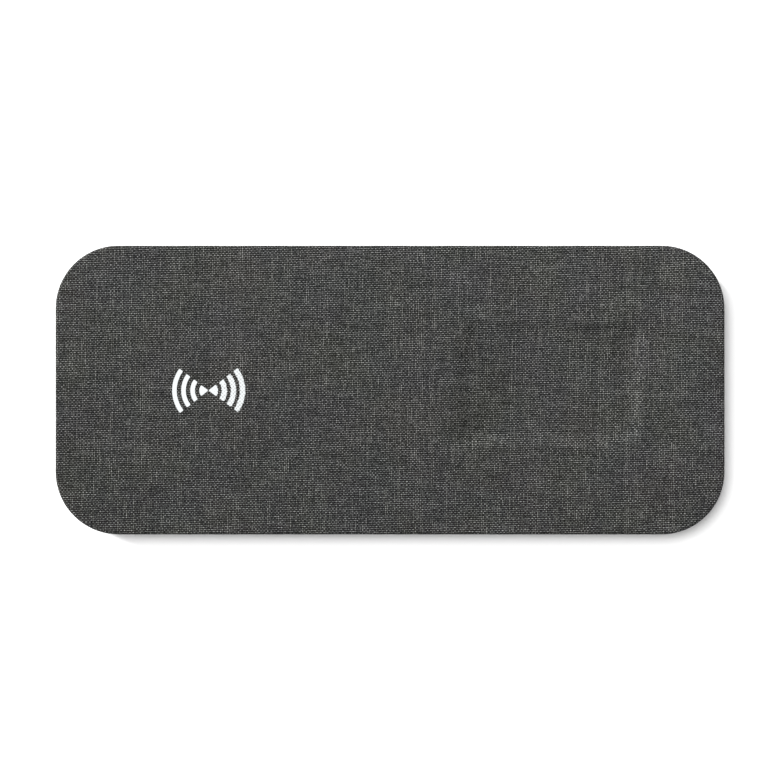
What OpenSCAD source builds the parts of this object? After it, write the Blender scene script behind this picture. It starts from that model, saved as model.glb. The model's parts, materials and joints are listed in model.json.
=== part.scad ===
// Flat wireless charging pad: a lid wrapped in woven fabric over a moulded base, with a large coil
// for a phone at the left and a smaller coil under a shallow rest at the right.
// Millimetres. X runs along the pad, Y towards its back, Z up. The origin is on the table,
// under the middle of the pad.

/* [Pad] */
// Length of the pad
pad_w = 220; // [210:1:236]
// Depth of the pad from front to back
pad_d = 95; // [93:1:104]
// Height from the table to the top of the fabric
pad_h = 10; // [10:0.1:11]
// Radius of the corners seen from above
corner_r = 20.7; // [17:0.1:24]
// Radius over the top edge of the fabric
edge_r = 1; // [0.8:0.1:2.2]

/* [Cover] */
// Thickness of the woven fabric
cover_t = 0.5; // [0.4:0.05:0.6]
// Thickness of the glue film under the fabric
glue_t = 0.15; // [0.1:0.05:0.2]
// Height of the fabric's lower edge above the table
hem_z = 6.7; // [6.6:0.1:7]
// Width of the hem turned in under the lid
hem_w = 2.4; // [2:0.1:2.6]

/* [Rest] */
// Centre of the rest, measured from the middle of the pad
rest_pos = [52.5, 2.1];
// Size of the rest at half its depth
rest_size = [58.2, 37.6];
// Corner radius of the rest at its mouth
rest_r = 7.5; // [6.5:0.5:9]
// Depth of the rest
rest_depth = 1.4; // [0.4:0.1:1.4]
// Width of its sloping flanks
rest_flank = 6; // [1.5:0.1:6]

/* [Shells] */
// Wall of the lid
lid_t = 1.3; // [1.1:0.1:1.4]
// Floor and wall of the base
base_t = 1.4; // [1.2:0.1:1.4]
// Height of the base's underside above the table
base_z = 1; // [0.8:0.1:1]
// How far the base's side stands in from the fabric
base_inset = 0.8; // [0.6:0.1:1]
// Radius round the base's lower edge
base_edge_r = 1.5; // [1:0.1:1.6]
// Height and depth of the shadow gap under the fabric
gap = [0.5, 0.8];
// Blank panel let into the underside
label_size = [64, 30];
// Depth of that panel
label_depth = 0.2; // [0.1:0.05:0.4]

/* [Feet and screws] */
// Diameter of a rubber foot
foot_d = 14; // [12:0.5:16]
// Depth that a foot is let into the base
foot_sunk = 0.4; // [0.2:0.1:0.6]
// Diameter of the housing screws
screw_d = 2; // [1.8:0.1:2.2]
// Diameter of the board screws
board_screw_d = 1.6; // [1.4:0.1:1.8]

/* [Phone coil] */
// Distance of the coil's centre from the left end of the pad
phone_x = 50.5; // [46:0.1:54]
// Outer radius of the winding
phone_coil_r = 25; // [22:0.5:25]
// Inner radius of the winding
phone_coil_hole_r = 10; // [9:0.5:11]
// Turns across the winding
phone_coil_turns = 12; // [8:1:14]

/* [Small coil] */
// Outer radius of the winding
small_coil_r = 15; // [12:0.5:15.5]
// Inner radius of the winding
small_coil_hole_r = 6; // [5:0.5:7]
// Turns across the winding
small_coil_turns = 8; // [6:1:10]

/* [Circuit board] */
// Width of the board
board_w = 50; // [46:1:52]
// Length of the board, back to front
board_l = 62.6; // [58:0.1:64]
// Thickness of the board
board_t = 1; // [0.8:0.1:1.2]
// Height of the board's top above the table
board_top = 4.4; // [4.3:0.1:4.6]

/* [Symbol] */
// Outer radius of the printed symbol
symbol_r = 12.05; // [8:0.01:14]
// Half the angle that its arcs span
symbol_angle = 37; // [25:0.5:45]
// Width of one printed arc
symbol_band = 1.68; // [1:0.01:2]
// Number of arcs on each side
symbol_arcs = 3; // [2:1:3]
// Thickness of the print, which is let into the top of the fabric
symbol_t = 0.06; // [0.04:0.01:0.1]

/* [Hidden] */
$fn = 48;
eps = 0.01;

// Heights, from the table up
floor_top = base_z + base_t;
rim_z = hem_z + cover_t + glue_t;
roof_top = pad_h - cover_t - glue_t;
roof_under = roof_top - lid_t;
rest_under = roof_under - rest_depth;
gap_z = hem_z - gap[0];

// The lid's rim reaches in as far as the hem and its glue
rim_inset = hem_w + 0.1;
wall_inset = base_inset + 1.6;

// Screws: four under the feet and four between them
corner_screws = [for (x = [-1, 1], y = [-1, 1]) [x * (pad_w / 2 - 22), y * (pad_d / 2 - 16)]];
middle_screws = [for (x = [-31, 31], y = [-1, 1]) [x, y * (pad_d / 2 - 9)]];
housing_points = concat(corner_screws, middle_screws);
foot_names = ["front_left", "back_left", "front_right", "back_right"];
post_top = 4.6;
seat_z = 2.9;
pilot_top = 7.4;

// Coils
phone_pos = [phone_x - pad_w / 2, 0];
coil_t = 1.9;
small_coil_t = 1.6;
ferrite_t = 1;
small_ferrite_t = 0.8;
coil_top = roof_under - 0.05;
coil_z = coil_top - coil_t;
ferrite_z = coil_z - ferrite_t;
ferrite_w = 53;
small_coil_top = rest_under - 0.05;
small_coil_z = small_coil_top - small_coil_t;
small_ferrite_z = small_coil_z - small_ferrite_t;
small_ferrite_w = 33;
lead_slot_w = 5;
lead_d = 0.9;
sensor_lead_d = 0.4;
pocket_wall = 1;
pocket_gap = 0.4;

// Board
board_back = pad_d / 2 - wall_inset - 0.5;
board_front = board_back - board_l;
board_z = board_top - board_t;
board_points = [for (x = [-1, 1], y = [board_back - 4, board_front + 4]) [x * (board_w / 2 - 4), y]];

// USB-C inlet: its mouth is flush with the base's back wall
inlet_w = 8.94;
inlet_h = 3.2;
inlet_l = 7.35;
inlet_wall = 0.25;
inlet_z = 4;
inlet_mouth = pad_d / 2 - base_inset;

// Status light, in the middle of the front wall
light_d = 1.6;
light_z = 5;
light_front = -pad_d / 2 + base_inset;
led_size = [3, 1, 1.2];

// ---- Shared shapes ----

// Carries a profile round a rounded rectangle; x = 0 is the corner's centre and x = r the outline
module around(w, d, r) {
    for (q = [0:3]) {
        half = q % 2 == 0 ? [w / 2 - r, d / 2 - r] : [d / 2 - r, w / 2 - r];
        rotate(90 * q)
            translate([half[0], half[1], 0])
                rotate_extrude(angle = 90)
                    children();
        rotate(90 * q)
            translate([half[0], half[1], 0])
                rotate([90, 0, 0])
                    linear_extrude(2 * half[1])
                        children();
    }
}

// What a square corner loses when it is rounded; the corner is at the origin, the solid below left
module corner_waste(r) {
    difference() {
        translate([-r, -r])
            square(r + 1);
        translate([-r, -r])
            circle(r);
    }
}

// Half section of a plate, r wide, from z0 to z1, with its outer corners rounded
module half_section(r, z0, z1, top_r, bottom_r) {
    difference() {
        translate([0, z0])
            square([r, z1 - z0]);
        if (top_r > 0)
            translate([r, z1])
                corner_waste(top_r);
        if (bottom_r > 0)
            translate([r, z0])
                mirror([0, 1])
                    corner_waste(bottom_r);
    }
}

// A plate that follows the pad's outline, set in from it, between two heights
module plate(inset, z0, z1, top_r = 0, bottom_r = 0) {
    w = pad_w - 2 * inset;
    d = pad_d - 2 * inset;
    r = corner_r - inset;
    around(w, d, r)
        half_section(r, z0, z1, top_r, bottom_r);
    translate([r - w / 2, r - d / 2, z0])
        cube([w - 2 * r, d - 2 * r, z1 - z0]);
}

// The hollow of the rest below a surface at height z
module rest_hollow(z) {
    w = rest_size[0] + rest_flank;
    d = rest_size[1] + rest_flank;
    translate([rest_pos[0], rest_pos[1], z]) {
        around(w, d, rest_r)
            polygon([
                [0, -rest_depth],
                [rest_r - rest_flank, -rest_depth],
                [rest_r, 0],
                [rest_r, 1],
                [0, 1]
            ]);
        translate([rest_r - w / 2, rest_r - d / 2, -rest_depth])
            cube([w - 2 * rest_r, d - 2 * rest_r, rest_depth + 1]);
    }
}

// The lid's outer form as far in as one layer: its inset grows and its top falls together
module lid_form(depth, z0, bottom_r = 0) {
    difference() {
        plate(depth, z0, pad_h - depth, edge_r - depth, bottom_r);
        rest_hollow(pad_h - depth);
    }
}

module rounded_box(size, r) {
    linear_extrude(size[2])
        rounded_rect(size[0], size[1], r);
}

module rounded_rect(w, d, r) {
    square([w - 2 * r, d], center = true);
    square([w, d - 2 * r], center = true);
    for (x = [-1, 1], y = [-1, 1])
        translate([x * (w / 2 - r), y * (d / 2 - r)])
            circle(r);
}

// A flat slot shape with round ends
module stadium(w, h) {
    square([w - h, h], center = true);
    for (x = [-1, 1])
        translate([x * (w - h) / 2, 0])
            circle(d = h);
}

module box_at(pos, size) {
    translate([pos[0], pos[1], pos[2] + size[2] / 2])
        cube(size, center = true);
}

module pan_screw(head_d, head_h, shaft_d, shaft_l) {
    // Head below z = 0 and shaft above it, with a cross recess in the head
    difference() {
        union() {
            translate([0, 0, -head_h])
                cylinder(d1 = head_d - 0.8, d2 = head_d, h = 0.4);
            translate([0, 0, 0.4 - head_h])
                cylinder(d = head_d, h = head_h - 0.4);
            cylinder(d = shaft_d, h = shaft_l - shaft_d / 2);
            translate([0, 0, shaft_l - shaft_d / 2])
                cylinder(d1 = shaft_d, d2 = 0.6, h = shaft_d / 2);
        }
        for (a = [0, 90])
            rotate(a)
                translate([0, 0, -head_h])
                    cube([head_d * 0.6, 0.45, 1], center = true);
    }
}

// One winding: turns side by side, ridged above and below, carried round the axis
module winding(r_in, r_out, turns, t) {
    pitch = (r_out - r_in) / turns;
    ridge = pitch / 3;
    top = [
        for (i = [0:turns - 1], a = [180:-45:45])
            [r_in + pitch * (i + 0.5) + pitch / 2 * cos(a), t - ridge + ridge * sin(a)]
    ];
    end = [[r_out, t - ridge]];
    upper = concat(top, end);
    lower = [for (i = [len(upper) - 1:-1:0]) [upper[i][0], t - upper[i][1]]];
    rotate_extrude()
        polygon(concat(upper, lower));
}

// Tube along a route of points that runs mainly along X
function unit(v) = v / norm(v);
function route_direction(p, i) = unit(p[min(i + 1, len(p) - 1)] - p[max(i - 1, 0)]);
function across(t) = unit([0, 1, 0] - t * t[1]);
function ring(c, t, r, n) = [
    for (k = [0:n - 1])
        c + r * cos(360 * k / n) * across(t) + r * sin(360 * k / n) * cross(across(t), t)
];

module lead(route, d) {
    n = 8;
    last = len(route) - 1;
    points = [for (i = [0:last]) each ring(route[i], route_direction(route, i), d / 2, n)];
    sides = [
        for (i = [0:last - 1], k = [0:n - 1])
            [i * n + k, i * n + (k + 1) % n, (i + 1) * n + (k + 1) % n, (i + 1) * n + k]
    ];
    start = [[for (k = [n - 1:-1:0]) k]];
    finish = [[for (k = [0:n - 1]) last * n + k]];
    polyhedron(points, concat(sides, start, finish), convexity = 4);
}

// ---- Cover ----

module fabric_cover() {
    color("#4b4b4a")
        difference() {
            lid_form(0, hem_z, 0.6);
            lid_form(cover_t, hem_z + cover_t);
            plate(hem_w, hem_z - 1, hem_z + cover_t + eps);
            symbol_film(symbol_t + 1);
        }
}

module cover_glue_film() {
    color("#c9c4a8")
        difference() {
            lid_form(cover_t, hem_z + cover_t);
            lid_form(cover_t + glue_t, rim_z);
            plate(hem_w, hem_z, rim_z + eps);
        }
}

module charge_symbol() {
    color("white")
        symbol_film(symbol_t);
}

// Concentric bands cut to a double wedge: a disc in the middle and arcs outside it
module symbol_film(t) {
    pitch = 2.98;
    disc_r = symbol_r - symbol_arcs * pitch;
    translate([phone_pos[0], phone_pos[1], pad_h - symbol_t])
        for (side = [0, 180], i = [0:symbol_arcs]) {
            outer = disc_r + pitch * i;
            inner = i == 0 ? 0.15 : outer - symbol_band;
            rotate(side - symbol_angle)
                rotate_extrude(angle = 2 * symbol_angle)
                    translate([inner, 0])
                        square([outer - inner, t]);
        }
}

// ---- Shells ----

module top_shell() {
    color("#26282a")
        difference() {
            union() {
                difference() {
                    lid_form(cover_t + glue_t, rim_z);
                    difference() {
                        plate(rim_inset, rim_z - 1, roof_under);
                        rest_hollow(roof_under);
                    }
                }
                for (p = housing_points)
                    translate([p[0], p[1], post_top])
                        cylinder(d = 6, h = roof_under - post_top + 0.5);
                lid_ribs();
            }
            for (p = housing_points)
                translate([p[0], p[1], post_top - 1])
                    cylinder(d = screw_d, h = pilot_top - post_top + 1);
        }
}

// Stiffening ribs under the lid, between the coils and round the ends
module lid_ribs() {
    rib_h = 1.2;
    rib_t = 0.9;
    rib_l = pad_d - 2 * rim_inset - 6;
    for (x = [-93, -28, 18, 88])
        box_at([x, 0, roof_under - rib_h], [rib_t, rib_l - (abs(x) > 80 ? 34 : 0), rib_h + 0.2]);
}

module bottom_shell() {
    color("#2b2d2f")
        difference() {
            union() {
                difference() {
                    union() {
                        plate(base_inset, base_z, gap_z, 0, base_edge_r);
                        plate(base_inset + gap[1], base_z + 2, hem_z);
                    }
                    plate(wall_inset, floor_top, hem_z + 1);
                }
                for (p = housing_points)
                    translate([p[0], p[1], base_z + 0.5])
                        cylinder(d = 7, h = post_top - base_z - 0.5);
                for (p = board_points)
                    translate([p[0], p[1], base_z + 0.5])
                        cylinder(d = 4.6, h = board_z - base_z - 0.5);
                coil_pocket(phone_pos, ferrite_w, ferrite_z + 0.4, 1);
                coil_pocket(rest_pos, small_ferrite_w, small_ferrite_z + 0.4, -1);
                locating_tabs();
                light_saddle();
            }
            for (p = housing_points)
                translate([p[0], p[1], 0]) {
                    cylinder(d = screw_d + 0.4, h = post_top + 1);
                    cylinder(d = 2 * screw_d + 0.4, h = seat_z);
                }
            for (p = corner_screws)
                translate([p[0], p[1], 0])
                    cylinder(d = foot_d + 0.2, h = base_z + foot_sunk);
            for (p = board_points)
                translate([p[0], p[1], base_z + 0.7])
                    cylinder(d = board_screw_d, h = board_z);
            inlet_slot();
            light_hole();
            translate([0, 0, base_z - 1])
                rounded_box([label_size[0], label_size[1], 1 + label_depth], 3);
        }
}

// Low wall round a coil's ferrite, open where the leads leave on the board's side
module coil_pocket(pos, w, top, side) {
    inner = w + 2 * pocket_gap;
    outer = inner + 2 * pocket_wall;
    h = top - floor_top + 0.5;
    difference() {
        box_at([pos[0], pos[1], floor_top - 0.5], [outer, outer, h]);
        box_at([pos[0], pos[1], floor_top - 1], [inner, inner, h + 2]);
        box_at([pos[0] + side * w / 2, pos[1], floor_top - 1], [10, 14, h + 2]);
    }
}

// Tabs on the base's wall that stand up inside the lid's rim
module locating_tabs() {
    tab_l = 12;
    top = roof_under - 0.15;
    near = rim_inset + 0.15;
    far = near + 1;
    spots = [
        [-58, pad_d / 2, 0], [58, pad_d / 2, 0],
        [58, pad_d / 2, 180], [-58, pad_d / 2, 180],
        [0, pad_w / 2, 90], [0, pad_w / 2, 270]
    ];
    for (s = spots)
        rotate(s[2])
            translate([s[0] - tab_l / 2, s[1], 0])
                rotate([90, 0, 90])
                    linear_extrude(tab_l)
                        polygon([
                            [-wall_inset + 0.3, 4.4],
                            [-wall_inset, 4.4],
                            [-far, 5.6],
                            [-far, top - 0.4],
                            [-far + 0.4, top],
                            [-near, top],
                            [-near, hem_z],
                            [-wall_inset + 0.3, hem_z]
                        ]);
}

// Upright with a notch that carries the light pipe across the base
module light_saddle() {
    difference() {
        box_at([0, light_front + 16, floor_top - 0.5], [6, 1.2, light_z - floor_top + 0.5]);
        translate([0, light_front + 20, light_z])
            rotate([90, 0, 0])
                cylinder(d = light_d + 0.1, h = 8);
    }
}

module inlet_slot() {
    translate([0, pad_d / 2 + 1, inlet_z])
        rotate([90, 0, 0])
            linear_extrude(wall_inset + 2)
                stadium(inlet_w + 0.16, inlet_h + 0.16);
}

module light_hole() {
    translate([0, light_front + 3, light_z])
        rotate([90, 0, 0])
            cylinder(d = light_d, h = 6);
}

// ---- Feet and screws ----

module rubber_foot(p) {
    foot_h = base_z + foot_sunk;
    color("#161718")
        translate([p[0], p[1], 0]) {
            cylinder(d1 = foot_d - 0.8, d2 = foot_d, h = 0.4);
            translate([0, 0, 0.4])
                cylinder(d = foot_d, h = foot_h - 0.4);
        }
}

module housing_screws() {
    color("silver")
        for (p = housing_points)
            translate([p[0], p[1], seat_z])
                pan_screw(2 * screw_d - 0.1, 1.2, screw_d, 4.3);
}

module board_screws() {
    color("silver")
        for (p = board_points)
            translate([p[0], p[1], board_top])
                mirror([0, 0, 1])
                    pan_screw(3, 1, board_screw_d, 2.6);
}

// ---- Coils ----

module phone_coil() {
    color("#b5652f")
        translate([phone_pos[0], phone_pos[1], coil_z])
            winding(phone_coil_hole_r, phone_coil_r, phone_coil_turns, coil_t);
}

module small_coil() {
    color("#b5652f")
        translate([rest_pos[0], rest_pos[1], small_coil_z])
            winding(small_coil_hole_r, small_coil_r, small_coil_turns, small_coil_t);
}

// Ferrite plate with a slot that lets the inner lead out under the winding
module ferrite(pos, z, w, t, side) {
    color("#3a3a3d")
        translate([pos[0], pos[1], z])
            difference() {
                rounded_box([w, w, t], 2);
                box_at([side * w / 2, 0, -1], [w, lead_slot_w, t + 2]);
            }
}

module foam(pos, top, w) {
    color("#6e7075")
        translate([pos[0], pos[1], floor_top])
            rounded_box([w - 3, w - 3, top - floor_top], 2);
}

// Leads run from the windings to the board's top; routes are laid out from the coil's centre
module phone_coil_leads() {
    z = ferrite_z + ferrite_t / 2;
    land = board_top + lead_d / 2;
    inner = [
        [9.6, 1.6, coil_z + 1.1], [8.6, 1.6, coil_z + 1], [7.9, 1.6, coil_z + 0.4],
        [8.1, 1.6, z + 0.25], [8.8, 1.6, z], [12, 1.6, z], [20, 1.6, z], [27, 1.6, z],
        [30, 1.6, z - 0.2], [33, 1.6, land + 0.2], [35, 1.6, land], [38, 1.6, land]
    ];
    outer = [
        [24.8, 4.5, coil_z + 1], [26, 4.5, coil_z + 1], [28.5, 4.5, z + 0.8], [31, 4.5, z],
        [33.5, 4.5, land + 0.2], [35.5, 4.5, land], [38, 4.5, land]
    ];
    color("#8c4a22")
        for (route = [inner, outer])
            translate([phone_pos[0], phone_pos[1], 0])
                lead(route, lead_d);
}

module small_coil_leads() {
    z = small_ferrite_z + small_ferrite_t / 2;
    land = board_top + lead_d / 2;
    d = 0.7;
    inner = [
        [-5.6, 1.6, small_coil_z + 0.9], [-4.8, 1.6, small_coil_z + 0.8],
        [-4.3, 1.6, small_coil_z + 0.3], [-4.5, 1.6, z + 0.2], [-5.2, 1.6, z],
        [-8, 1.6, z], [-14, 1.6, z], [-20, 1.6, z], [-25, 1.6, z - 0.1], [-28, 1.6, land], [-31, 1.6, land]
    ];
    outer = [
        [-14.5, 4.5, small_coil_z + 0.8], [-16, 4.5, small_coil_z + 0.8],
        [-19, 4.5, z + 0.2], [-23, 4.5, z], [-28, 4.5, land], [-31, 4.5, land]
    ];
    color("#8c4a22")
        for (route = [inner, outer])
            translate([rest_pos[0], rest_pos[1], 0])
                lead(route, d);
}

// Bead in the middle of the phone coil that watches its temperature
module temperature_sensor() {
    bead_d = 1.6;
    color("#2d2a26")
        translate([phone_pos[0] - 3, phone_pos[1] - 1.3, coil_z + bead_d / 2])
            rotate([0, 90, 0])
                cylinder(d = bead_d, h = 3);
}

module sensor_leads() {
    z = ferrite_z + ferrite_t / 2;
    top = coil_z + 0.8;
    land = board_top + sensor_lead_d / 2;
    color("#b23b2e")
        for (y = [-1, -1.7])
            translate([phone_pos[0], phone_pos[1], 0])
                lead([
                    [0, y, top], [1.2, y, top], [2.4, y, top - 0.5], [3.4, y, z + 0.3],
                    [4.6, y, z], [10, y, z], [20, y, z], [28, y, z], [32, y, z - 0.4],
                    [35, y, land + 0.1], [36.5, y, land], [38, y, land]
                ], sensor_lead_d);
}

// ---- Circuit board and what is soldered to it ----

module circuit_board() {
    color("#1f5a3a")
        difference() {
            translate([0, (board_back + board_front) / 2, board_z])
                rounded_box([board_w, board_l, board_t], 1.5);
            for (p = board_points)
                translate([p[0], p[1], board_z - 1])
                    cylinder(d = board_screw_d + 0.4, h = board_t + 2);
            box_at([0, board_back, board_z - 1], [inlet_w + 0.3, 10.8, board_t + 2]);
        }
}

// Flat chip package with legs on all four sides
module controller_chip() {
    body = 7;
    legs = 12;
    leg_pitch = 0.5;
    color("#1b1b1c")
        translate([-2, 6, board_top]) {
            box_at([0, 0, 0.1], [body, body, 1.2]);
            for (a = [0:90:270], i = [0:legs - 1])
                rotate(a)
                    box_at([body / 2 + 0.4, (i - (legs - 1) / 2) * leg_pitch, 0], [0.9, 0.22, 0.35]);
        }
}

module bridge_chips() {
    color("#1b1b1c")
        for (p = [[-14, 2], [-14, 10], [12, 2]])
            box_at([p[0], p[1], board_top], [5, 5, 0.9]);
}

module power_inductor() {
    color("#4a4c50")
        translate([9, 24, board_top])
            rounded_box([7, 6.6, 3], 0.8);
}

module input_capacitors() {
    color("#c58b2a")
        for (x = [-10, -4])
            translate([x, 25, board_top])
                rounded_box([4.3, 7.3, 2], 0.3);
}

// Ceramic capacitors that tune the coils: a bank of four and a bank of two
module resonant_capacitors() {
    color("#b9a27c")
        for (p = [[-20, -4], [-16, -4], [-12, -4], [-8, -4], [16, -4], [20, -4]])
            box_at([p[0], p[1], board_top], [2.5, 3.2, 2]);
}

module small_passives() {
    color("#8d8578") {
        for (x = [-8:3:10])
            box_at([x, 15, board_top], [0.8, 1.6, 0.5]);
        for (x = [-6:3:9])
            box_at([x, -9, board_top], [0.8, 1.6, 0.5]);
        for (y = [8:3:20])
            box_at([18, y, board_top], [1.6, 0.8, 0.5]);
    }
}

// ---- USB-C inlet ----

module usb_c_shell() {
    color("silver") {
        translate([0, inlet_mouth, inlet_z])
            rotate([90, 0, 0])
                linear_extrude(inlet_l)
                    difference() {
                        stadium(inlet_w, inlet_h);
                        stadium(inlet_w - 2 * inlet_wall, inlet_h - 2 * inlet_wall);
                    }
        for (x = [-1, 1])
            box_at([x * (inlet_w / 2 + 0.65), inlet_mouth - 5, board_top], [1.6, 1.6, 0.3]);
    }
}

module usb_c_tongue() {
    block_l = 1.6;
    tongue_l = 4.6;
    color("#1a1a1a") {
        translate([0, inlet_mouth - inlet_l + block_l, inlet_z])
            rotate([90, 0, 0])
                linear_extrude(block_l)
                    stadium(inlet_w - 2 * inlet_wall, inlet_h - 2 * inlet_wall);
        translate([0, inlet_mouth - inlet_l + block_l + tongue_l / 2, inlet_z])
            cube([6.7, tongue_l, 0.7], center = true);
    }
}

module usb_c_contacts() {
    contact = [0.25, 3.6, 0.05];
    color("gold")
        for (i = [0:11], side = [0, 1])
            box_at(
                [(i - 5.5) * 0.5, inlet_mouth - 3.4, inlet_z + (side == 0 ? 0.35 : -0.35 - contact[2])],
                contact
            );
}

// ---- Status light ----

module status_led() {
    color("#f2f2e6")
        box_at([0, board_front + led_size[1] / 2 + 0.2, board_top], led_size);
}

module light_pipe() {
    back = board_front - 0.1;
    collar_y = -pad_d / 2 + wall_inset;
    color("#e9f2f5") {
        translate([0, back, light_z])
            rotate([90, 0, 0])
                cylinder(d = light_d, h = back - light_front);
        translate([0, collar_y + 0.9, light_z])
            rotate([90, 0, 0])
                cylinder(d = light_d + 1, h = 0.9);
    }
}

fabric_cover();
charge_symbol();
cover_glue_film();
top_shell();
bottom_shell();
housing_screws();
for (i = [0:3])
    rubber_foot(corner_screws[i]);
phone_coil();
ferrite(phone_pos, ferrite_z, ferrite_w, ferrite_t, 1);  // phone_coil_ferrite
foam(phone_pos, ferrite_z, ferrite_w);  // phone_coil_foam
phone_coil_leads();
temperature_sensor();
sensor_leads();
small_coil();
ferrite(rest_pos, small_ferrite_z, small_ferrite_w, small_ferrite_t, -1);  // small_coil_ferrite
foam(rest_pos, small_ferrite_z, small_ferrite_w);  // small_coil_foam
small_coil_leads();
circuit_board();
board_screws();
controller_chip();
bridge_chips();
power_inductor();
input_capacitors();
resonant_capacitors();
small_passives();
usb_c_shell();
usb_c_tongue();
usb_c_contacts();
status_led();
light_pipe();
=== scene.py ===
"""Looks of a flat wireless charging pad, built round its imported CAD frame.

Lengths are in metres. +X runs along the pad towards its rest, +Y to its back and +Z up out of the charging
surface.
"""
import json
import math

import bpy
import numpy as np
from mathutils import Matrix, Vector, noise

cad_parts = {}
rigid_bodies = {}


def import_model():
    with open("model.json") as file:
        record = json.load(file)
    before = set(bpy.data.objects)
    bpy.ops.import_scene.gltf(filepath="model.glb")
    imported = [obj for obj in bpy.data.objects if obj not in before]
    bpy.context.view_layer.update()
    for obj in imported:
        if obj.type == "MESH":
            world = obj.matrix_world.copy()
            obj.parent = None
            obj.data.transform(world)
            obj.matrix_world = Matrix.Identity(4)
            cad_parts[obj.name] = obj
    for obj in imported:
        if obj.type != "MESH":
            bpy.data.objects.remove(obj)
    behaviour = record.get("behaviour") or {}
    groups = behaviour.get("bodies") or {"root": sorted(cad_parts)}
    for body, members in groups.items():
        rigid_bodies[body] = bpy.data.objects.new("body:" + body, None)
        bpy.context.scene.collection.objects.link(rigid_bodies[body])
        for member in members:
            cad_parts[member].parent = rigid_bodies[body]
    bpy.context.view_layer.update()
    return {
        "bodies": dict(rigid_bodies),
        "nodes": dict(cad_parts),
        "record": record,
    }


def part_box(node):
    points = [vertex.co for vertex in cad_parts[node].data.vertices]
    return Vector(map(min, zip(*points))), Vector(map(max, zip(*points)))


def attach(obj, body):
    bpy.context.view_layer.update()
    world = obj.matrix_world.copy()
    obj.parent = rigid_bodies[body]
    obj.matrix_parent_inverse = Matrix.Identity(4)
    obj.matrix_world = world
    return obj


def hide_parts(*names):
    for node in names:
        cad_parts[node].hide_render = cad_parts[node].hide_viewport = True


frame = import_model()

MM = 0.001
BODY = next(iter(frame["bodies"]))

# The pad, from the frame
COVER_LOW, COVER_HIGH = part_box("fabric_cover")
TOP = COVER_HIGH.z
HEM_Z = COVER_LOW.z
HALF_W = COVER_HIGH.x
HALF_D = COVER_HIGH.y
SYMBOL_LOW, SYMBOL_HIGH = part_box("charge_symbol")
SYMBOL_CENTRE = (SYMBOL_LOW + SYMBOL_HIGH) / 2
SYMBOL_R = (SYMBOL_HIGH.x - SYMBOL_LOW.x) / 2
REST_CENTRE = sum(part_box("small_coil"), Vector()) / 2

# The cloth's own form
CORNER_R = 20.7 * MM
EDGE_R = 0.8 * MM
CLOTH_T = 0.5 * MM
HEM_R = 0.6 * MM
HEM_W = 2.4 * MM
WAVE_HEIGHT = 0.02 * MM
WAVE_SIZE = 12 * MM

# The rest pressed into it. Its half size is taken at half depth. REST_STEEP is the share of the depth that
# comes over a side's own flank, and the remainder comes over REST_EASE.
REST_HALF = (29.1 * MM, 18.8 * MM)
REST_R = 4.7 * MM
REST_DEPTH = 1.4 * MM
REST_FLANKS = {"left": 6.6 * MM, "right": 5.4 * MM, "back": 4.0 * MM, "front": 4.8 * MM}
REST_STEEP = {"left": 0.52, "right": 1.0, "back": 0.48, "front": 1.0}
REST_EASE = 16 * MM
REST_LEAN = 0.06
REST_BLEND = 12 * MM
RIM_WANDER = 0.55 * MM
RIM_WANDER_SIZE = 8 * MM

# The lid's own rest under it, and how far the cloth presses into the glue there
LID_REST_R = 4.5 * MM
LID_FLANK = 6 * MM
GLUE_GIVE = 0.1 * MM

# Spacing of the cloth mesh's lines where it is flat and where it bends
COARSE_STEP = 1.6 * MM
FINE_STEP = 0.5 * MM

# The weave: pitch of the threads and how far each set leans off square
WARP_PITCH = 0.5747 * MM
WEFT_PITCH = 0.6044 * MM
WARP_LEAN = math.radians(0.88)
WEFT_LEAN = math.radians(1.64)


# ---- Meshes ----

def add_piece(name, verts, faces, smooth=True):
    """Makes a mesh object from points and faces and links it to the scene."""
    mesh = bpy.data.meshes.new(name)
    mesh.from_pydata([tuple(v) for v in verts], [], [tuple(f) for f in faces])
    mesh.validate()
    mesh.polygons.foreach_set("use_smooth", [smooth] * len(mesh.polygons))
    piece = bpy.data.objects.new(name, mesh)
    bpy.context.scene.collection.objects.link(piece)
    return piece


def set_uv(piece, name, points):
    """Gives a mesh a UV layer with one place for each vertex."""
    layer = piece.data.uv_layers.new(name=name)
    corners = np.zeros(len(piece.data.loops), np.int32)
    piece.data.loops.foreach_get("vertex_index", corners)
    layer.data.foreach_set("uv", np.asarray(points, np.float32)[corners].ravel())


def steps(start, end, spacing):
    """Evenly spaced values from start to end, no further apart than spacing, without the end."""
    count = max(1, math.ceil((end - start) / spacing))
    return [start + (end - start) * i / count for i in range(count)]


# ---- Cloth cover ----

def grid_lines(half, centre, rest_half):
    """Places of the grid's lines along one axis, close together over the rest's two flanks."""
    reach = 5.6 * MM
    near, far = centre - rest_half, centre + rest_half
    stops = [-half, near - reach, near + reach, far - reach, far + reach, half]
    gaps = [COARSE_STEP, FINE_STEP, COARSE_STEP, FINE_STEP, COARSE_STEP]
    lines = [v for a, b, gap in zip(stops, stops[1:], gaps) for v in steps(a, b, gap)]
    return lines + [half]


def soft_ramp(t):
    """Rises from 0 to 1 as t does: a straight slope with both its ends rounded."""
    t = min(max(t, 0), 1)
    bend = 0.25
    near = min(t, 1 - t)
    rise = near**2 / (2 * bend * (1 - bend)) if near < bend else (near - bend / 2) / (1 - bend)
    return rise if t < 0.5 else 1 - rise


def past_corner(dx, dy):
    """Distance out from a rounded outline's corner centre, measured square to the outline.

    It takes how far the place is past that centre along each axis. Less the corner radius, it is how far
    the place lies outside the outline.
    """
    return math.hypot(max(dx, 0), max(dy, 0)) + min(max(dx, dy), 0)


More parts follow.
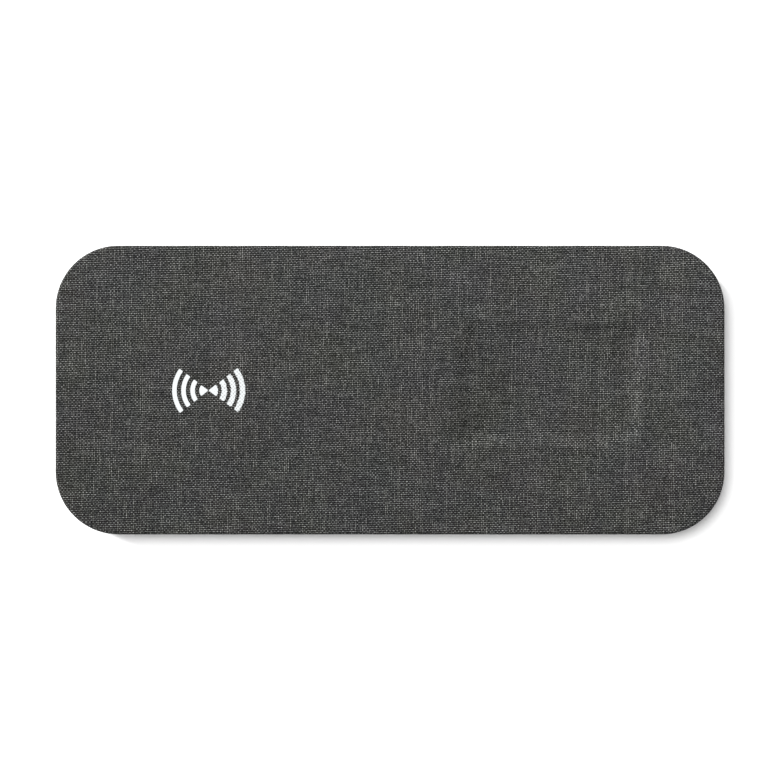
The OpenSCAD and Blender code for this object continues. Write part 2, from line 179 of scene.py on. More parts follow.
def lid_sink(from_x, from_y):
    """How far the lid's own rest lies below the lid's top: straight flanks of one width."""
    dx = abs(from_x) - REST_HALF[0] + LID_REST_R
    dy = abs(from_y) - REST_HALF[1] + LID_REST_R
    inside = LID_REST_R - past_corner(dx, dy)
    return REST_DEPTH * min(max(0.5 + inside / LID_FLANK, 0), 1)


def rest_sink(x, y):
    """How far the cloth lies below its top at a place on it: never lower than the glued lid lets it."""
    wander = noise.noise(Vector((x, y, 0)) / RIM_WANDER_SIZE) * RIM_WANDER
    from_y = y - REST_CENTRE.y
    limit = lid_sink(x - REST_CENTRE.x, from_y) + GLUE_GIVE
    from_x = x - REST_CENTRE.x - REST_LEAN * from_y
    dx = abs(from_x) - REST_HALF[0] + REST_R
    dy = abs(from_y) - REST_HALF[1] + REST_R
    outside = past_corner(dx, dy) - REST_R + wander
    side_x = "right" if from_x > 0 else "left"
    side_y = "back" if from_y > 0 else "front"
    turn = soft_ramp(0.5 + (dx - dy) / REST_BLEND)
    flank = REST_FLANKS[side_y] + (REST_FLANKS[side_x] - REST_FLANKS[side_y]) * turn
    steep = REST_STEEP[side_y] + (REST_STEEP[side_x] - REST_STEEP[side_y]) * turn
    drop = steep * soft_ramp(0.5 - outside / flank) + (1 - steep) * soft_ramp(-outside / REST_EASE)
    sink = REST_DEPTH * drop
    # The lesser of the two, rounded where they meet
    touch = max(1 - abs(sink - limit) / GLUE_GIVE, 0)
    return min(sink, limit) - touch**2 * GLUE_GIVE / 4


def unevenness(x, y):
    """Slight waves of cloth that is glued over a moulded lid."""
    return WAVE_HEIGHT * noise.noise(Vector((x, y, 5)) / WAVE_SIZE)


def top_height(x, y):
    """Height of the cloth's outer face before it drops at the edge, nowhere above the CAD's top."""
    return TOP - rest_sink(x, y) + unevenness(x, y) - WAVE_HEIGHT


def edge_profile():
    """The cloth's section from the flat top over the edge to the hem's end, as (reach, drop, length) rows.

    Reach is the distance out from the corner's centre, and length is measured along the cloth.
    """
    rows = []
    flat_end = CORNER_R - EDGE_R
    for reach in steps(COARSE_STEP, flat_end, COARSE_STEP):
        rows.append((reach, 0, reach))
    edge_arc = 10
    for i in range(edge_arc + 1):
        a = math.pi / 2 * i / edge_arc
        rows.append((flat_end + EDGE_R * math.sin(a), EDGE_R * (1 - math.cos(a)), flat_end + EDGE_R * a))
    side_end = TOP - HEM_Z - HEM_R
    length = rows[-1][2]
    for drop in steps(EDGE_R, side_end, FINE_STEP)[1:]:
        rows.append((CORNER_R, drop, length + drop - EDGE_R))
    length += side_end - EDGE_R
    hem_arc = 6
    for i in range(hem_arc + 1):
        a = math.pi / 2 * i / hem_arc
        reach = CORNER_R - HEM_R + HEM_R * math.cos(a)
        rows.append((reach, side_end + HEM_R * math.sin(a), length + HEM_R * a))
    length = rows[-1][2]
    hem_steps = 3
    for i in range(1, hem_steps + 1):
        inward = (HEM_W - HEM_R) * i / hem_steps
        rows.append((CORNER_R - HEM_R - inward, TOP - HEM_Z, length + inward))
    return rows


def cloth_spokes(xs, ys):
    """Directions in which the cloth runs out from its inner grid, anticlockwise.

    Each is a (grid place, out x, out y) row, and at each corner a fan of them turns a quarter circle.
    """
    fan = 30
    right, left = len(xs) - 1, 0
    back, front = len(ys) - 1, 0
    sides = [
        ([(right, j) for j in range(len(ys))], 0),
        ([(i, back) for i in range(right, -1, -1)], 90),
        ([(left, j) for j in range(back, -1, -1)], 180),
        ([(i, front) for i in range(len(xs))], 270),
    ]
    spokes = []
    for places, turn in sides:
        a = math.radians(turn)
        spokes += [(place, math.cos(a), math.sin(a)) for place in places]
        for k in range(1, fan):
            b = a + math.pi / 2 * k / fan
            spokes.append((places[-1], math.cos(b), math.sin(b)))
    return spokes


def cloth_surface():
    """Points of the cloth's outer face, their places on the flat cut, and the faces between them."""
    half_x, half_y = HALF_W - CORNER_R, HALF_D - CORNER_R
    xs = grid_lines(half_x, REST_CENTRE.x, REST_HALF[0])
    ys = grid_lines(half_y, REST_CENTRE.y, REST_HALF[1])
    points = [(x, y, top_height(x, y)) for x in xs for y in ys]
    cut = [(x, y) for x in xs for y in ys]
    rows_y = len(ys)
    faces = []
    for i in range(len(xs) - 1):
        for j in range(rows_y - 1):
            a = i * rows_y + j
            faces.append((a, a + rows_y, a + rows_y + 1, a + 1))
    spokes = cloth_spokes(xs, ys)
    ring = [i * rows_y + j for (i, j), _, _ in spokes]
    for reach, drop, length in edge_profile():
        new_ring = []
        for (i, j), out_x, out_y in spokes:
            x, y = xs[i] + reach * out_x, ys[j] + reach * out_y
            new_ring.append(len(points))
            points.append((x, y, top_height(x, y) - drop))
            cut.append((xs[i] + length * out_x, ys[j] + length * out_y))
        for k in range(len(spokes)):
            after = (k + 1) % len(spokes)
            face = [ring[k], new_ring[k], new_ring[after], ring[after]]
            faces.append(face[:3] if ring[k] == ring[after] else face)
        ring = new_ring
    return np.array(points), np.array(cut), faces, ring


def build_cover():
    """The woven cover: one cloth over the lid, pressed into the rest and turned in under the rim."""
    points, cut, faces, rim = cloth_surface()
    # A first mesh, soon removed, gives the normals along which the cloth's thickness is measured
    outer = add_piece("woven_cover", points, faces)
    normals = np.zeros(len(points) * 3, np.float32)
    outer.data.vertices.foreach_get("normal", normals)
    inner_points = points - CLOTH_T * normals.reshape(-1, 3)
    bpy.data.objects.remove(outer)
    count = len(points)
    inner_faces = [[count + v for v in reversed(f)] for f in faces]
    ends = [(rim[k - 1], rim[k - 1] + count, rim[k] + count, rim[k]) for k in range(len(rim))]
    cover = add_piece("woven_cover", np.vstack([points, inner_points]), faces + inner_faces + ends)
    set_uv(cover, "Weave", np.vstack([cut, cut]))
    length, width = 2 * np.abs(cut).max(axis=0)
    # The outer face lies in the lower half of the square and the inner face in its upper half
    margin = 2 * MM
    baked = cut / (length + margin)
    set_uv(cover, "OFBake", np.vstack([baked + (0.5, 0.25), baked + (0.5, 0.75)]))
    corner = edge_profile()[-1][2]
    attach(cover, BODY)
    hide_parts("fabric_cover")
    return cover


# ---- Printed symbol ----

def band_points(inner, outer, half_angle, side):
    """Grid of points over one printed band, with its four corners rounded and its edges a little ragged.

    Side is 1 for the right-hand fan, whose edges are the more ragged, and -1 for the left-hand one.
    """
    round_r = 0.3 * MM
    ragged = 0.13 * MM if side > 0 else 0.02 * MM
    ragged_depth = 0.3 * MM
    wobble = 9
    along_step = 0.13 * MM
    plain_step = 0.2 * MM
    plain_start = 0.45 * MM
    near_edge = [0, 0.04 * MM, 0.1 * MM, 0.18 * MM, 0.3 * MM]
    width = outer - inner
    offsets = near_edge + steps(plain_start, width - plain_start, plain_step)
    offsets += [width - v for v in reversed(near_edge)]
    count = max(12, round(2 * half_angle * outer / along_step))
    rows = []
    for offset in offsets:
        r = inner + offset
        from_edge = min(offset, width - offset)
        near = max(round_r - from_edge, 0)
        trim = round_r - math.sqrt(round_r**2 - near**2)
        reach = half_angle - trim / max(r, round_r)
        swing = ragged * max(0, 1 - from_edge / ragged_depth)
        outward = 1 if offset > width / 2 else -1
        row = []
        for k in range(count + 1):
            a = -reach + 2 * reach * k / count
            x, y = side * r * math.cos(a), r * math.sin(a)
            drift = wobble * noise.noise(Vector((x, y, 2)) / MM)
            push = outward * swing * math.sin(2 * math.pi * y / WEFT_PITCH + drift)
            row.append((x * (1 + push / r), y * (1 + push / r)))
        rows.append(row)
    return rows


def band_faces(height, width, start, side):
    """Faces of one printed band: the grids of its top and underside, and the wall round them."""
    faces = []
    under = height * width
    for layer in (0, 1):
        for a in range(height - 1):
            for b in range(width - 1):
                v = start + layer * under + a * width + b
                quad = [v, v + width, v + width + 1, v + 1]
                faces.append(quad if layer == 0 else quad[::-1])
    border = list(range(width))
    border += [a * width + width - 1 for a in range(1, height)]
    border += [(height - 1) * width + b for b in range(width - 2, -1, -1)]
    border += [a * width for a in range(height - 2, 0, -1)]
    for k in range(len(border)):
        a, b = start + border[k - 1], start + border[k]
        faces.append([a, b, b + under, a + under])
    return faces if side > 0 else [face[::-1] for face in faces]


def build_symbol():
    """The printed transmit symbol: a disc and three rings, cut to two wedges back to back.

    What differs between the two fans goes by side: -1 is the left-hand one and 1 the right-hand one.
    """
    half_angle = math.radians(37.3)
    pitch = 2.98 * MM
    band = {-1: 1.49 * MM, 1: 1.73 * MM}
    pull = {-1: 0, 1: 0.1 * MM}
    start_r = {-1: 0.2 * MM, 1: 0.06 * MM}
    turn = math.radians(0.7)
    disc_shift_x = -0.15 * MM
    shift_y = -0.15 * MM
    rings = 3
    film = 0.03 * MM
    disc_r = SYMBOL_R - rings * pitch
    verts, faces = [], []
    for side in (-1, 1):
        for i in range(rings + 1):
            shift_x = disc_shift_x if i == 0 else 0
            outer = disc_r + pitch * i - pull[side] - side * shift_x
            inner = start_r[side] if i == 0 else outer - band[side]
            rows = band_points(inner, outer, half_angle, side)
            faces += band_faces(len(rows), len(rows[0]), len(verts), side)
            for z in (film, -film):
                for x, y in (point for row in rows for point in row):
                    verts.append((
                        SYMBOL_CENTRE.x + x * math.cos(turn) - y * math.sin(turn) + shift_x,
                        SYMBOL_CENTRE.y + x * math.sin(turn) + y * math.cos(turn) + shift_y,
                        TOP + z,
                    ))
    symbol = add_piece("printed_symbol", verts, faces, smooth=False)
    set_uv(symbol, "Weave", [(v[0], v[1]) for v in verts])
    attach(symbol, BODY)
    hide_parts("charge_symbol")
    return symbol


# ---- Node trees ----

class Graph:
    """Writes a node tree. Apart from feed and add, each call adds nodes and gives back an output socket."""

    def __init__(self, tree):
        self.tree = tree

    def feed(self, socket, value):
        """Links an output to a socket, or sets the socket to a plain value."""
        if isinstance(value, bpy.types.NodeSocket):
            self.tree.links.new(value, socket)
        else:
            socket.default_value = value

    def add(self, kind, inputs=None, **settings):
        """Adds a node with its settings and its named inputs, and gives back the node itself."""
        node = self.tree.nodes.new(kind)
        for key, value in settings.items():
            setattr(node, key, value)
        for key, value in (inputs or {}).items():
            self.feed(node.inputs[key], value)
        return node

    def math(self, operation, *values, clamp=False):
        node = self.add("ShaderNodeMath", operation=operation, use_clamp=clamp)
        for socket, value in zip(node.inputs, values):
            self.feed(socket, value)
        return node.outputs[0]

    def total(self, *terms):
        """Sum of terms; a pair (factor, value) counts as its product."""
        total = 0.0
        for term in terms:
            if isinstance(term, tuple):
                total = self.math("MULTIPLY_ADD", term[0], term[1], total)
            else:
                total = self.math("ADD", term, total)
        return total

    def vector(self, operation, *values, result="Vector"):
        """Vector arithmetic; the result is the output Value for a dot product or a length."""
        node = self.add("ShaderNodeVectorMath", operation=operation)
        for socket, value in zip(node.inputs, values):
            self.feed(socket, value)
        return node.outputs[result]

    def dot(self, vector, direction):
        return self.vector("DOT_PRODUCT", vector, direction, result="Value")

    def join(self, x, y, z):
        return self.add("ShaderNodeCombineXYZ", {"X": x, "Y": y, "Z": z}).outputs[0]

    def plane(self, x, x_scale, y, y_scale, seed):
        """A place for noise: two values, each times its scale, and a seed that sets it apart."""
        return self.join(self.math("MULTIPLY", x, x_scale), self.math("MULTIPLY", y, y_scale), seed)

    def uv(self, name):
        return self.add("ShaderNodeUVMap", uv_map=name).outputs["UV"]

    def place(self):
        """Where a point is in its object's own space, which is the frame's."""
        return self.add("ShaderNodeTexCoord").outputs["Object"]

    def noise(self, vector, scale, detail=2.0, roughness=0.5):
        """Smooth noise from about -1 to 1."""
        node = self.add(
            "ShaderNodeTexNoise",
            {"Vector": vector, "Scale": scale, "Detail": detail, "Roughness": roughness},
        )
        return self.math("MULTIPLY_ADD", node.outputs["Fac"], 2.0, -1.0)

    def random(self, x, y, seed):
        """A number from -1 to 1 that is fixed for each pair of whole numbers."""
        node = self.add("ShaderNodeTexWhiteNoise", {"Vector": self.join(x, y, seed)})
        return self.math("MULTIPLY_ADD", node.outputs["Value"], 2.0, -1.0)

    def cells(self, vector, scale):
        """Distance to the nearest of many scattered points."""
        node = self.add("ShaderNodeTexVoronoi", {"Vector": vector, "Scale": scale}, feature="F1")
        return node.outputs["Distance"]

    def mix(self, share, first, second):
        """Mixes two colours. The node has its colour sockets after those for its other kinds of data."""
        node = self.add("ShaderNodeMix", data_type="RGBA")
        for index, value in ((0, share), (6, first), (7, second)):
            self.feed(node.inputs[index], value)
        return node.outputs[2]

    def range(self, value, low, high, to_low=0.0, to_high=1.0):
        """Carries low..high over to to_low..to_high, and stays within them."""
        node = self.add(
            "ShaderNodeMapRange",
            {"Value": value, "From Min": low, "From Max": high, "To Min": to_low, "To Max": to_high},
        )
        return node.outputs["Result"]

    def bump(self, height, strength, distance):
        node = self.add("ShaderNodeBump", {"Height": height, "Strength": strength, "Distance": distance})
        return node.outputs["Normal"]


def rgb(red, green, blue):
    return (red, green, blue, 1.0)


def new_material(name, **settings):
    """A material with one Principled shader; constant settings go straight onto its sockets."""
    material = bpy.data.materials.new(name)
    material.use_nodes = True
    tree = material.node_tree
    tree.nodes.clear()
    graph = Graph(tree)
    shader = graph.add("ShaderNodeBsdfPrincipled")
    output = graph.add("ShaderNodeOutputMaterial")
    tree.links.new(shader.outputs[0], output.inputs["Surface"])
    for key, value in settings.items():
        shader.inputs[key.replace("_", " ").title().replace("Ior", "IOR")].default_value = value
    return material, graph, shader


# ---- Cloth ----

def thread_places(graph, cut):
    """A place on the cut cloth counted in threads, across the warp and across the weft.

    The first two results are straight and even, and the other two are as woven: threads drift together
    over centimetres, and each wanders a little by itself.
    """
    u = graph.dot(cut, (math.cos(WARP_LEAN) / WARP_PITCH, -math.sin(WARP_LEAN) / WARP_PITCH, 0))
    v = graph.dot(cut, (math.sin(WEFT_LEAN) / WEFT_PITCH, math.cos(WEFT_LEAN) / WEFT_PITCH, 0))
    warp_wander = graph.noise(graph.plane(u, 0.55, v, 0.05, seed=3.0), 1.0, 0.0)
    weft_wander = graph.noise(graph.plane(v, 0.55, u, 0.05, seed=8.0), 1.0, 0.0)
    u_woven = graph.total(u, (graph.noise(cut, 70.0, 1.0), 0.4), (warp_wander, 0.3))
    v_woven = graph.total(v, (graph.noise(cut, 55.0, 1.0), 0.25), (weft_wander, 0.15))
    return u, v, u_woven, v_woven


def yarn_tones(graph, u, v, warp_id, weft_id):
    """How light each warp and weft thread is: a tone that changes along it, and bands of like threads."""
    warp_run = graph.noise(graph.plane(warp_id, 7.31, v, 0.13, seed=1.0), 1.0, 3.0)
    weft_run = graph.noise(graph.plane(weft_id, 5.77, u, 0.085, seed=2.0), 1.0, 3.0)
    warp_band = graph.noise(graph.plane(u, 0.23, v, 0.03, seed=5.0), 1.0, 1.0)
    weft_band = graph.noise(graph.plane(v, 0.25, u, 0.04, seed=7.0), 1.0, 1.0)
    warp_own = graph.random(warp_id, 0.0, seed=4.0)
    warp_tone = graph.total((warp_own, 0.22), (warp_run, 1.15), (warp_band, 0.28))
    weft_tone = graph.total((weft_run, 0.6), (weft_band, 0.5))
    return warp_tone, weft_tone


def weave(graph):
    """Plain weave of mottled yarn.

    Gives, for each place, the logarithm of its lightness, the height of its threads, its pits, the warmth
    of its dye and its crossing, which is above 0 where the weft lies on top and below 0 where the warp does.
    """
    cut = graph.uv("Weave")
    u, v, u_woven, v_woven = thread_places(graph, cut)
    warp_id = graph.math("FLOOR", u_woven)
    weft_id = graph.math("FLOOR", v_woven)
    sin_u = graph.math("SINE", graph.math("MULTIPLY", u_woven, math.pi))
    sin_v = graph.math("SINE", graph.math("MULTIPLY", v_woven, math.pi))
    warp_swell = graph.math("MULTIPLY", sin_u, sin_u)
    weft_swell = graph.math("MULTIPLY", sin_v, sin_v)
    columns = graph.math("MULTIPLY_ADD", warp_swell, 2.0, -1.0)
    rows = graph.math("MULTIPLY_ADD", weft_swell, 2.0, -1.0)
    crossing = graph.math("MULTIPLY", sin_u, sin_v)
    float_rise = graph.math("ABSOLUTE", crossing)
    warp_shows = graph.total((crossing, -0.4), (columns, 0.3), 0.5)
    weft_shows = graph.total((crossing, 0.45), (rows, 0.1), 0.5)
    warp_tone, weft_tone = yarn_tones(graph, u, v, warp_id, weft_id)
    speck = graph.math("MULTIPLY", graph.random(warp_id, weft_id, seed=9.0), float_rise)
    cloud = graph.noise(cut, 60.0, 3.0, 0.6)
    fibre = graph.noise(cut, 2200.0, 1.0)
    # Painted light: the cloth is made lighter towards the back and a little to the right, as if the light
    # fell off across the pad
    painted_light_to_back = graph.dot(cut, (0.3, 1.7, 0))
    # Painted shade: the rows and columns terms darken each thread towards the gaps beside it
    lightness = graph.total(
        (crossing, 0.62),
        (rows, 1.28),
        (columns, 0.2),
        (graph.math("MULTIPLY", columns, warp_tone), 1.65),
        (graph.math("MULTIPLY", rows, weft_tone), 1.1),
        (speck, 0.5),
        (fibre, 2.4),
        (graph.math("MULTIPLY", warp_tone, warp_shows), 0.6),
        (graph.math("MULTIPLY", weft_tone, weft_shows), 0.1),
        (cloud, 0.22),
        (painted_light_to_back, 1.0),
    )
    height = graph.total((float_rise, 0.7), (rows, 0.15))
    pit = graph.math(
        "MULTIPLY",
        graph.math("SUBTRACT", 1.0, warp_swell),
        graph.math("SUBTRACT", 1.0, weft_swell),
    )
    warmth = graph.total((graph.noise(cut, 45.0, 2.0), 2.0), (warp_tone, 1.0), (cloud, 0.6), 0.5)
    return lightness, height, pit, warmth, crossing


def cloth_colour(graph, lightness, warmth, base):
    """The yarn's colour, from the logarithm of how much light it gives back and its dye's warmth."""
    cool, warm = rgb(0.992, 1.004, 1.004), rgb(1.023, 1.021, 0.956)
    mauve, green = rgb(1.0045, 0.991, 1.0045), rgb(0.993, 1.014, 0.993)
    plain = (1, 1, 1)
    dye = graph.mix(graph.math("ADD", warmth, 0.0, clamp=True), cool, warm)
    elsewhere = graph.vector("ADD", graph.uv("Weave"), (0.3, 0.2, 0.4))
    greenness = graph.range(graph.noise(elsewhere, 50.0, 2.0), -0.25, 0.25)
    tint = graph.vector("MULTIPLY", dye, graph.mix(greenness, mauve, green))
    # The hue counts for more on dark yarn than on bright, up to a limit
    slope, rise, limit = -0.42, 0.36, 1.2
    hue = graph.vector("SUBTRACT", tint, plain)
    amount = graph.math("EXPONENT", graph.math("MINIMUM", graph.total((lightness, slope), rise), limit))
    dyed = graph.vector("MULTIPLY_ADD", hue, amount, plain)
    level = graph.math("EXPONENT", graph.total(lightness, math.log(base)))
    return graph.vector("MULTIPLY", dyed, level)


def cloth_material():
    """Charcoal two-tone plain weave."""
    base = 0.0247
    brightest, knee = 2.4, 1.2
    pit_shade = -2.4
    material, graph, shader = new_material("heathered_weave", specular_ior_level=0.03)
    lightness, height, pit, warmth, _ = weave(graph)
    limited = graph.math("SMOOTH_MIN", lightness, brightest, knee)
    shadowed = graph.total(limited, (pit, pit_shade))
    graph.feed(shader.inputs["Base Color"], cloth_colour(graph, shadowed, warmth, base))
    graph.feed(shader.inputs["Roughness"], graph.range(height, 0.0, 0.8, 0.68, 0.52))
    graph.feed(shader.inputs["Normal"], graph.bump(height, 0.25, 0.1 * MM))
    return material


def print_material():
    """White transfer print that follows the weave.

    It misses pits and crossings where the warp lies on top, mostly on the right-hand arcs.
    """
    cloth_base = 0.06
    wear_start, wear_end = SYMBOL_CENTRE.x - 1 * MM, SYMBOL_CENTRE.x + 5 * MM
    low_ink, high_ink = rgb(0.45, 0.47, 0.475), rgb(0.52, 0.54, 0.545)
    material, graph, shader = new_material("transfer_print", specular_ior_level=0.4)
    lightness, height, pit, warmth, crossing = weave(graph)
    along = graph.dot(graph.place(), (1, 0, 0))
    right = graph.range(along, wear_start, wear_end)
    worn = graph.total((graph.noise(graph.place(), 700.0, 2.0), 0.35), (right, 0.5), -0.8)
    missed = graph.math("MULTIPLY", graph.total((crossing, -0.95), (pit, 0.35), worn), 1.2, clamp=True)
    ink = graph.mix(graph.range(height, 0.0, 0.8), low_ink, high_ink)
    cloth = cloth_colour(graph, lightness, warmth, cloth_base)
    graph.feed(shader.inputs["Base Color"], graph.mix(missed, ink, cloth))
    graph.feed(shader.inputs["Roughness"], graph.range(missed, 0.0, 1.0, 0.5, 0.9))
    graph.feed(shader.inputs["Normal"], graph.bump(height, 0.15, 0.08 * MM))
    return material


# ---- Moulded, metal and other finishes ----

def grained(name, dark, light, grain, rough, relief, **settings):
    """A moulded or cast finish: mottled colour, uneven roughness and a fine grain, its relief in mm."""
    material, graph, shader = new_material(name, **settings)
    place = graph.place()
    coarse = grain / 6
    mottle = graph.range(graph.noise(place, coarse, 4.0), -0.5, 0.5)
    fine = graph.noise(place, grain, 3.0)
    graph.feed(shader.inputs["Base Color"], graph.mix(mottle, rgb(*dark), rgb(*light)))
    graph.feed(shader.inputs["Roughness"], graph.range(fine, -0.6, 0.6, rough - 0.08, rough + 0.08))
    graph.feed(shader.inputs["Normal"], graph.bump(fine, 0.5, relief * MM))
    return material


def metal(name, dark, light, rough, stretch=(1, 1, 1)):
    """Metal with fine marks; stretch drags the marks out along an axis."""
    material, graph, shader = new_material(name, metallic=1.0)
    node = graph.add("ShaderNodeMapping")
    graph.feed(node.inputs["Vector"], graph.place())
    node.inputs["Scale"].default_value = stretch
    marks = graph.noise(node.outputs[0], 9000.0, 3.0, 0.7)
    stain = graph.range(graph.noise(graph.place(), 700.0, 3.0), -0.5, 0.5)
    graph.feed(shader.inputs["Base Color"], graph.mix(stain, rgb(*dark), rgb(*light)))
    graph.feed(shader.inputs["Roughness"], graph.range(marks, -0.5, 0.5, rough - 0.1, rough + 0.12))
    graph.feed(shader.inputs["Normal"], graph.bump(marks, 0.2, 0.01 * MM))
    return material


def foam_material():
    """Closed-cell foam: small round cells in relief."""
    material, graph, shader = new_material("closed_cell_foam", specular_ior_level=0.2)
    cell = graph.cells(graph.place(), 1800.0)
    graph.feed(shader.inputs["Base Color"], graph.mix(cell, rgb(0.12, 0.12, 0.125), rgb(0.22, 0.22, 0.23)))
    graph.feed(shader.inputs["Roughness"], graph.range(cell, 0.0, 1.0, 0.95, 0.8))
    graph.feed(shader.inputs["Normal"], graph.bump(cell, 0.8, 0.1 * MM))
    return material


def winding_material(name, centre):
    """Enamelled stranded copper, its strands running round the winding's centre."""
    strand_pitch = 0.16 * MM
    material, graph, shader = new_material(name, metallic=0.85, coat_weight=0.6)
    place = graph.place()
    from_centre = graph.vector("SUBTRACT", place, centre)
    out = graph.vector("LENGTH", from_centre, result="Value")
    strand = graph.math("SINE", graph.math("MULTIPLY", out, 2 * math.pi / strand_pitch))
    mottle = graph.noise(place, 500.0, 3.0)
    share = graph.range(graph.total((strand, 0.5), (mottle, 0.8)), -1.0, 1.0)
    graph.feed(shader.inputs["Base Color"], graph.mix(share, rgb(0.3, 0.09, 0.03), rgb(0.72, 0.3, 0.13)))
    graph.feed(shader.inputs["Roughness"], graph.range(mottle, -0.5, 0.5, 0.25, 0.42))
    graph.feed(shader.inputs["Normal"], graph.bump(strand, 0.6, 0.04 * MM))
    return material


def board_material():
    """Green solder mask over copper tracks, which show as lighter, slightly raised lines."""
    material, graph, shader = new_material("solder_mask", coat_weight=0.5)
    place = graph.place()
    sockets = {"Vector": place, "Scale": 210.0, "Mortar Size": 0.06, "Mortar Smooth": 0.1}
    block = graph.add("ShaderNodeTexBrick", sockets, offset=0.37)
    track = block.outputs["Fac"]
    mottle = graph.noise(place, 300.0, 3.0)
    shade = graph.total((track, 0.7), (mottle, 0.2), 0.1)
    graph.feed(shader.inputs["Base Color"], graph.mix(shade, rgb(0.008, 0.07, 0.03), rgb(0.03, 0.2, 0.08)))
    graph.feed(shader.inputs["Roughness"], graph.range(mottle, -0.5, 0.5, 0.3, 0.45))
    graph.feed(shader.inputs["Normal"], graph.bump(track, 0.5, 0.03 * MM))
    return material


def clear_material():
    """Clear moulded plastic, very slightly clouded."""
    material, graph, shader = new_material("clear_light_pipe", transmission_weight=0.85, ior=1.49)
    haze = graph.noise(graph.place(), 1500.0, 2.0)
    shade = graph.range(haze, -0.5, 0.5)
    graph.feed(shader.inputs["Base Color"], graph.mix(shade, rgb(0.82, 0.87, 0.9), rgb(0.95, 0.97, 0.98)))
    graph.feed(shader.inputs["Roughness"], graph.range(haze, -0.5, 0.5, 0.12, 0.3))
    graph.feed(shader.inputs["Normal"], graph.bump(haze, 0.1, 0.02 * MM))
    return material


def centre_of(node):
    low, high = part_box(node)
    return (low + high) / 2


def frame_materials():
    """The finish of the CAD nodes that stay, by the record's material slot; copper has its own."""
    # Slot: material name, dark and light colour, grain, roughness and relief in mm
    cast = {
        "lid_plastic": ("moulded_lid", (0.018, 0.018, 0.02), (0.028, 0.029, 0.031), 1800.0, 0.55, 0.02),
        "glue_film": ("glue_film", (0.5, 0.46, 0.33), (0.66, 0.62, 0.47), 1200.0, 0.5, 0.03),
        "ferrite_ceramic": (
            "sintered_ferrite", (0.03, 0.03, 0.032), (0.075, 0.075, 0.08), 2200.0, 0.6, 0.02,
        ),
        "sensor_epoxy": ("dipped_epoxy", (0.012, 0.01, 0.009), (0.03, 0.022, 0.018), 900.0, 0.25, 0.01),
        "lead_insulation": (
            "lead_insulation", (0.3, 0.02, 0.015), (0.42, 0.035, 0.025), 1400.0, 0.35, 0.01,
        ),
        "chip_package": ("chip_package", (0.012, 0.012, 0.013), (0.022, 0.022, 0.023), 5000.0, 0.55, 0.008),
        "capacitor_body": ("tantalum_case", (0.5, 0.24, 0.03), (0.68, 0.36, 0.06), 3000.0, 0.4, 0.01),
        "capacitor_ceramic": ("fired_ceramic", (0.34, 0.26, 0.17), (0.5, 0.4, 0.27), 4000.0, 0.45, 0.01),
        "inlet_plastic": ("inlet_insert", (0.012, 0.012, 0.013), (0.02, 0.02, 0.021), 5000.0, 0.5, 0.008),
        "led_package": ("led_package", (0.66, 0.66, 0.58), (0.82, 0.82, 0.76), 3500.0, 0.35, 0.01),
    }
    finishes = {slot: grained(*row) for slot, row in cast.items()}
    finishes["base_plastic"] = grained(
        "moulded_base", (0.017, 0.0175, 0.019), (0.024, 0.025, 0.0265), 2600.0, 0.62, 0.03,
        specular_ior_level=0.4,
    )
    finishes["foot_rubber"] = grained(
        "moulded_rubber", (0.011, 0.011, 0.012), (0.02, 0.02, 0.021), 1500.0, 0.82, 0.03,
        specular_ior_level=0.3,
    )
    drawn_along_x = (0.05, 1, 1)
    finishes["screw_steel"] = metal("zinc_plate", (0.42, 0.43, 0.46), (0.68, 0.68, 0.7), 0.34)
    finishes["inlet_steel"] = metal(
        "nickel_plate", (0.52, 0.51, 0.49), (0.74, 0.73, 0.71), 0.26, drawn_along_x
    )
    finishes["contact_gold"] = metal("gold_flash", (0.78, 0.5, 0.16), (0.95, 0.7, 0.3), 0.24, drawn_along_x)
    finishes["grey_foam"] = foam_material()
    finishes["board_laminate"] = board_material()
    finishes["clear_plastic"] = clear_material()
    return finishes


def finish_frame():
    """Gives each CAD node that stays its finish; the cover's and the print's nodes are replaced."""
    finishes = frame_materials()
    windings = {
        name: winding_material(f"{name}_litz", centre_of(name)) for name in ("phone_coil", "small_coil")
    }
    leads = grained(
        "lead_copper", (0.34, 0.11, 0.04), (0.62, 0.25, 0.1), 2500.0, 0.35, 0.02, metallic=0.8
    )
    for part in frame["record"]["subparts"]:
        node, slot = part["node"], part["material_slot"]
        material = windings.get(node, leads) if slot == "coil_copper" else finishes.get(slot)
        if material:
            mesh = frame["nodes"][node].data
            mesh.materials.clear()
            mesh.materials.append(material)


# ---- Stage ----

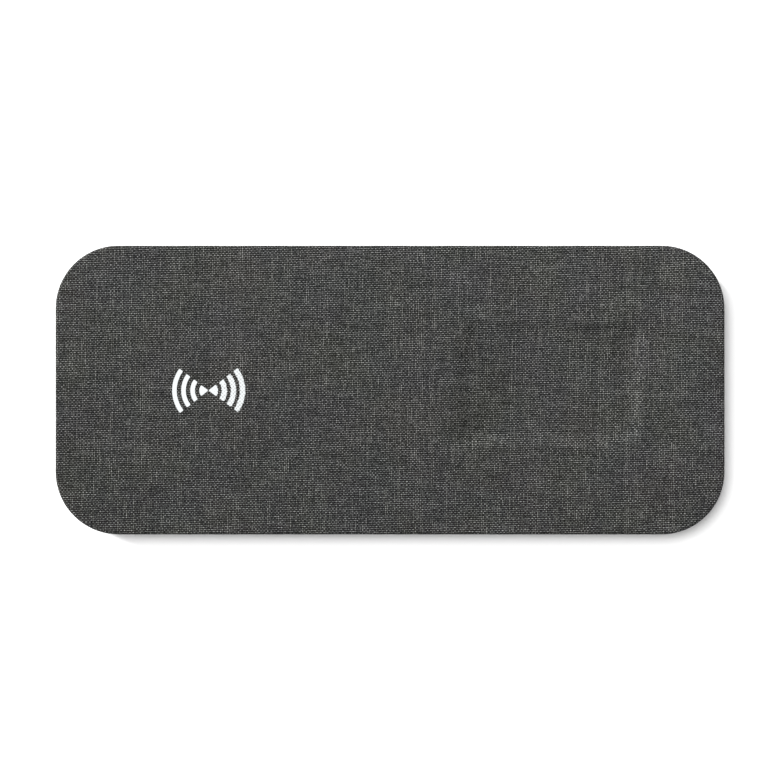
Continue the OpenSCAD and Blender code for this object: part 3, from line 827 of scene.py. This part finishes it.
def build_floor():
    """A wide pale floor."""
    half = 40.0
    corners = [(-half, -half, 0), (half, -half, 0), (half, half, 0), (-half, half, 0)]
    floor = add_piece("floor", corners, [(0, 1, 2, 3)])
    material, graph, shader = new_material("pale_floor", specular_ior_level=0.1)
    mottle = graph.range(graph.noise(graph.place(), 8.0, 2.0), -0.5, 0.5)
    dull, bright = rgb(0.885, 0.885, 0.885), rgb(0.9, 0.9, 0.9)
    graph.feed(shader.inputs["Base Color"], graph.mix(mottle, dull, bright))
    graph.feed(shader.inputs["Roughness"], graph.range(mottle, 0.0, 1.0, 0.88, 0.92))
    floor.data.materials.append(material)


def add_sun(name, strength, lean, turn, spread):
    """A wide soft light from far away.

    In degrees, lean is its angle from straight up, turn the way it leans, from +X, and spread its width.
    """
    light = bpy.data.lights.new(name, "SUN")
    light.energy = strength
    light.angle = math.radians(spread)
    lamp = bpy.data.objects.new(name, light)
    a, b = math.radians(lean), math.radians(turn)
    source = Vector((math.sin(a) * math.cos(b), math.sin(a) * math.sin(b), math.cos(a)))
    lamp.rotation_euler = source.to_track_quat("Z", "Y").to_euler()
    bpy.context.scene.collection.objects.link(lamp)


def build_world():
    """A white room: bright round the horizon and softer overhead."""
    world = bpy.data.worlds.new("studio")
    bpy.context.scene.world = world
    world.use_nodes = True
    world.node_tree.nodes.clear()
    graph = Graph(world.node_tree)
    direction = graph.add("ShaderNodeTexCoord").outputs["Generated"]
    rise = graph.dot(direction, (0, 0, 1))
    horizon_rise, horizon_light = 0.16, 1.02
    overhead_rise, overhead_light = 0.45, 0.5
    level = graph.range(rise, horizon_rise, overhead_rise, horizon_light, overhead_light)
    light = graph.add("ShaderNodeBackground", {"Color": rgb(1, 1, 1), "Strength": level})
    output = graph.add("ShaderNodeOutputWorld")
    graph.tree.links.new(light.outputs[0], output.inputs["Surface"])


def build_camera():
    """Looks straight down, far enough off that the pad fills as much of the picture as in the photo."""
    away = 0.6057
    camera = bpy.data.cameras.new("camera")
    camera.lens = 85
    camera.sensor_width = 36
    camera.clip_end = 100
    pose = bpy.data.objects.new("camera", camera)
    pose.location = (0, 0, TOP - EDGE_R + away)
    bpy.context.scene.collection.objects.link(pose)
    bpy.context.scene.camera = pose


cover = build_cover()
cover.data.materials.append(cloth_material())
symbol = build_symbol()
symbol.data.materials.append(print_material())
finish_frame()

build_floor()
build_world()
add_sun("key_light", strength=2.5, lean=21.5, turn=144, spread=28)
add_sun("side_light", strength=8.2, lean=75, turn=146, spread=14)
build_camera()
bpy.context.scene.view_settings.view_transform = "Standard"
